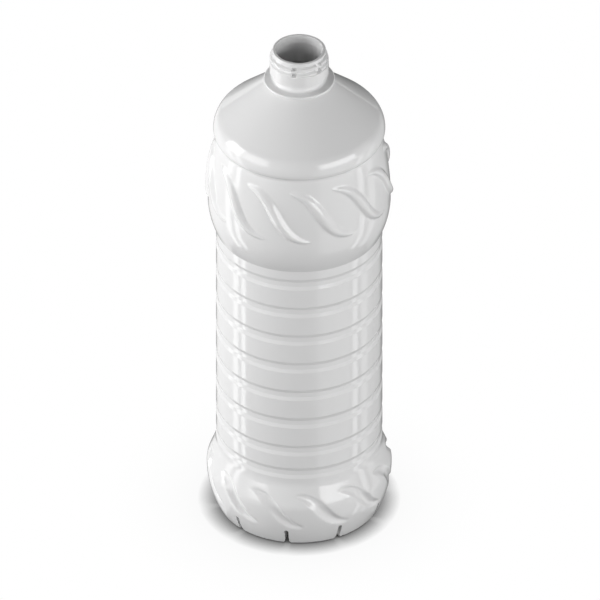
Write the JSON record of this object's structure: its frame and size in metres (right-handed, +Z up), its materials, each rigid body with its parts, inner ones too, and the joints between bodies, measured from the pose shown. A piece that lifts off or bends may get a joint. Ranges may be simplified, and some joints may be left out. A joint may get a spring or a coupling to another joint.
{
  "type": "cylindrical bottle",
  "caption": "Round blown plastic bottle with an open screw neck, a sloping shoulder, a grooved waist, bands of S-shaped waves and a slotted foot.",
  "frame": {"origin": "middle of the standing ring, on the surface the bottle stands on", "axes": "+Z up along the bottle's axis to the mouth, -Y towards the side that the picture faces, +X to its right"},
  "size_m": [0.0876, 0.0876, 0.2565],
  "materials": {
    "bottle": "satin"
  },
  "bodies": {
    "root": {"bottle": "bottle"}
  },
  "joints": []
}
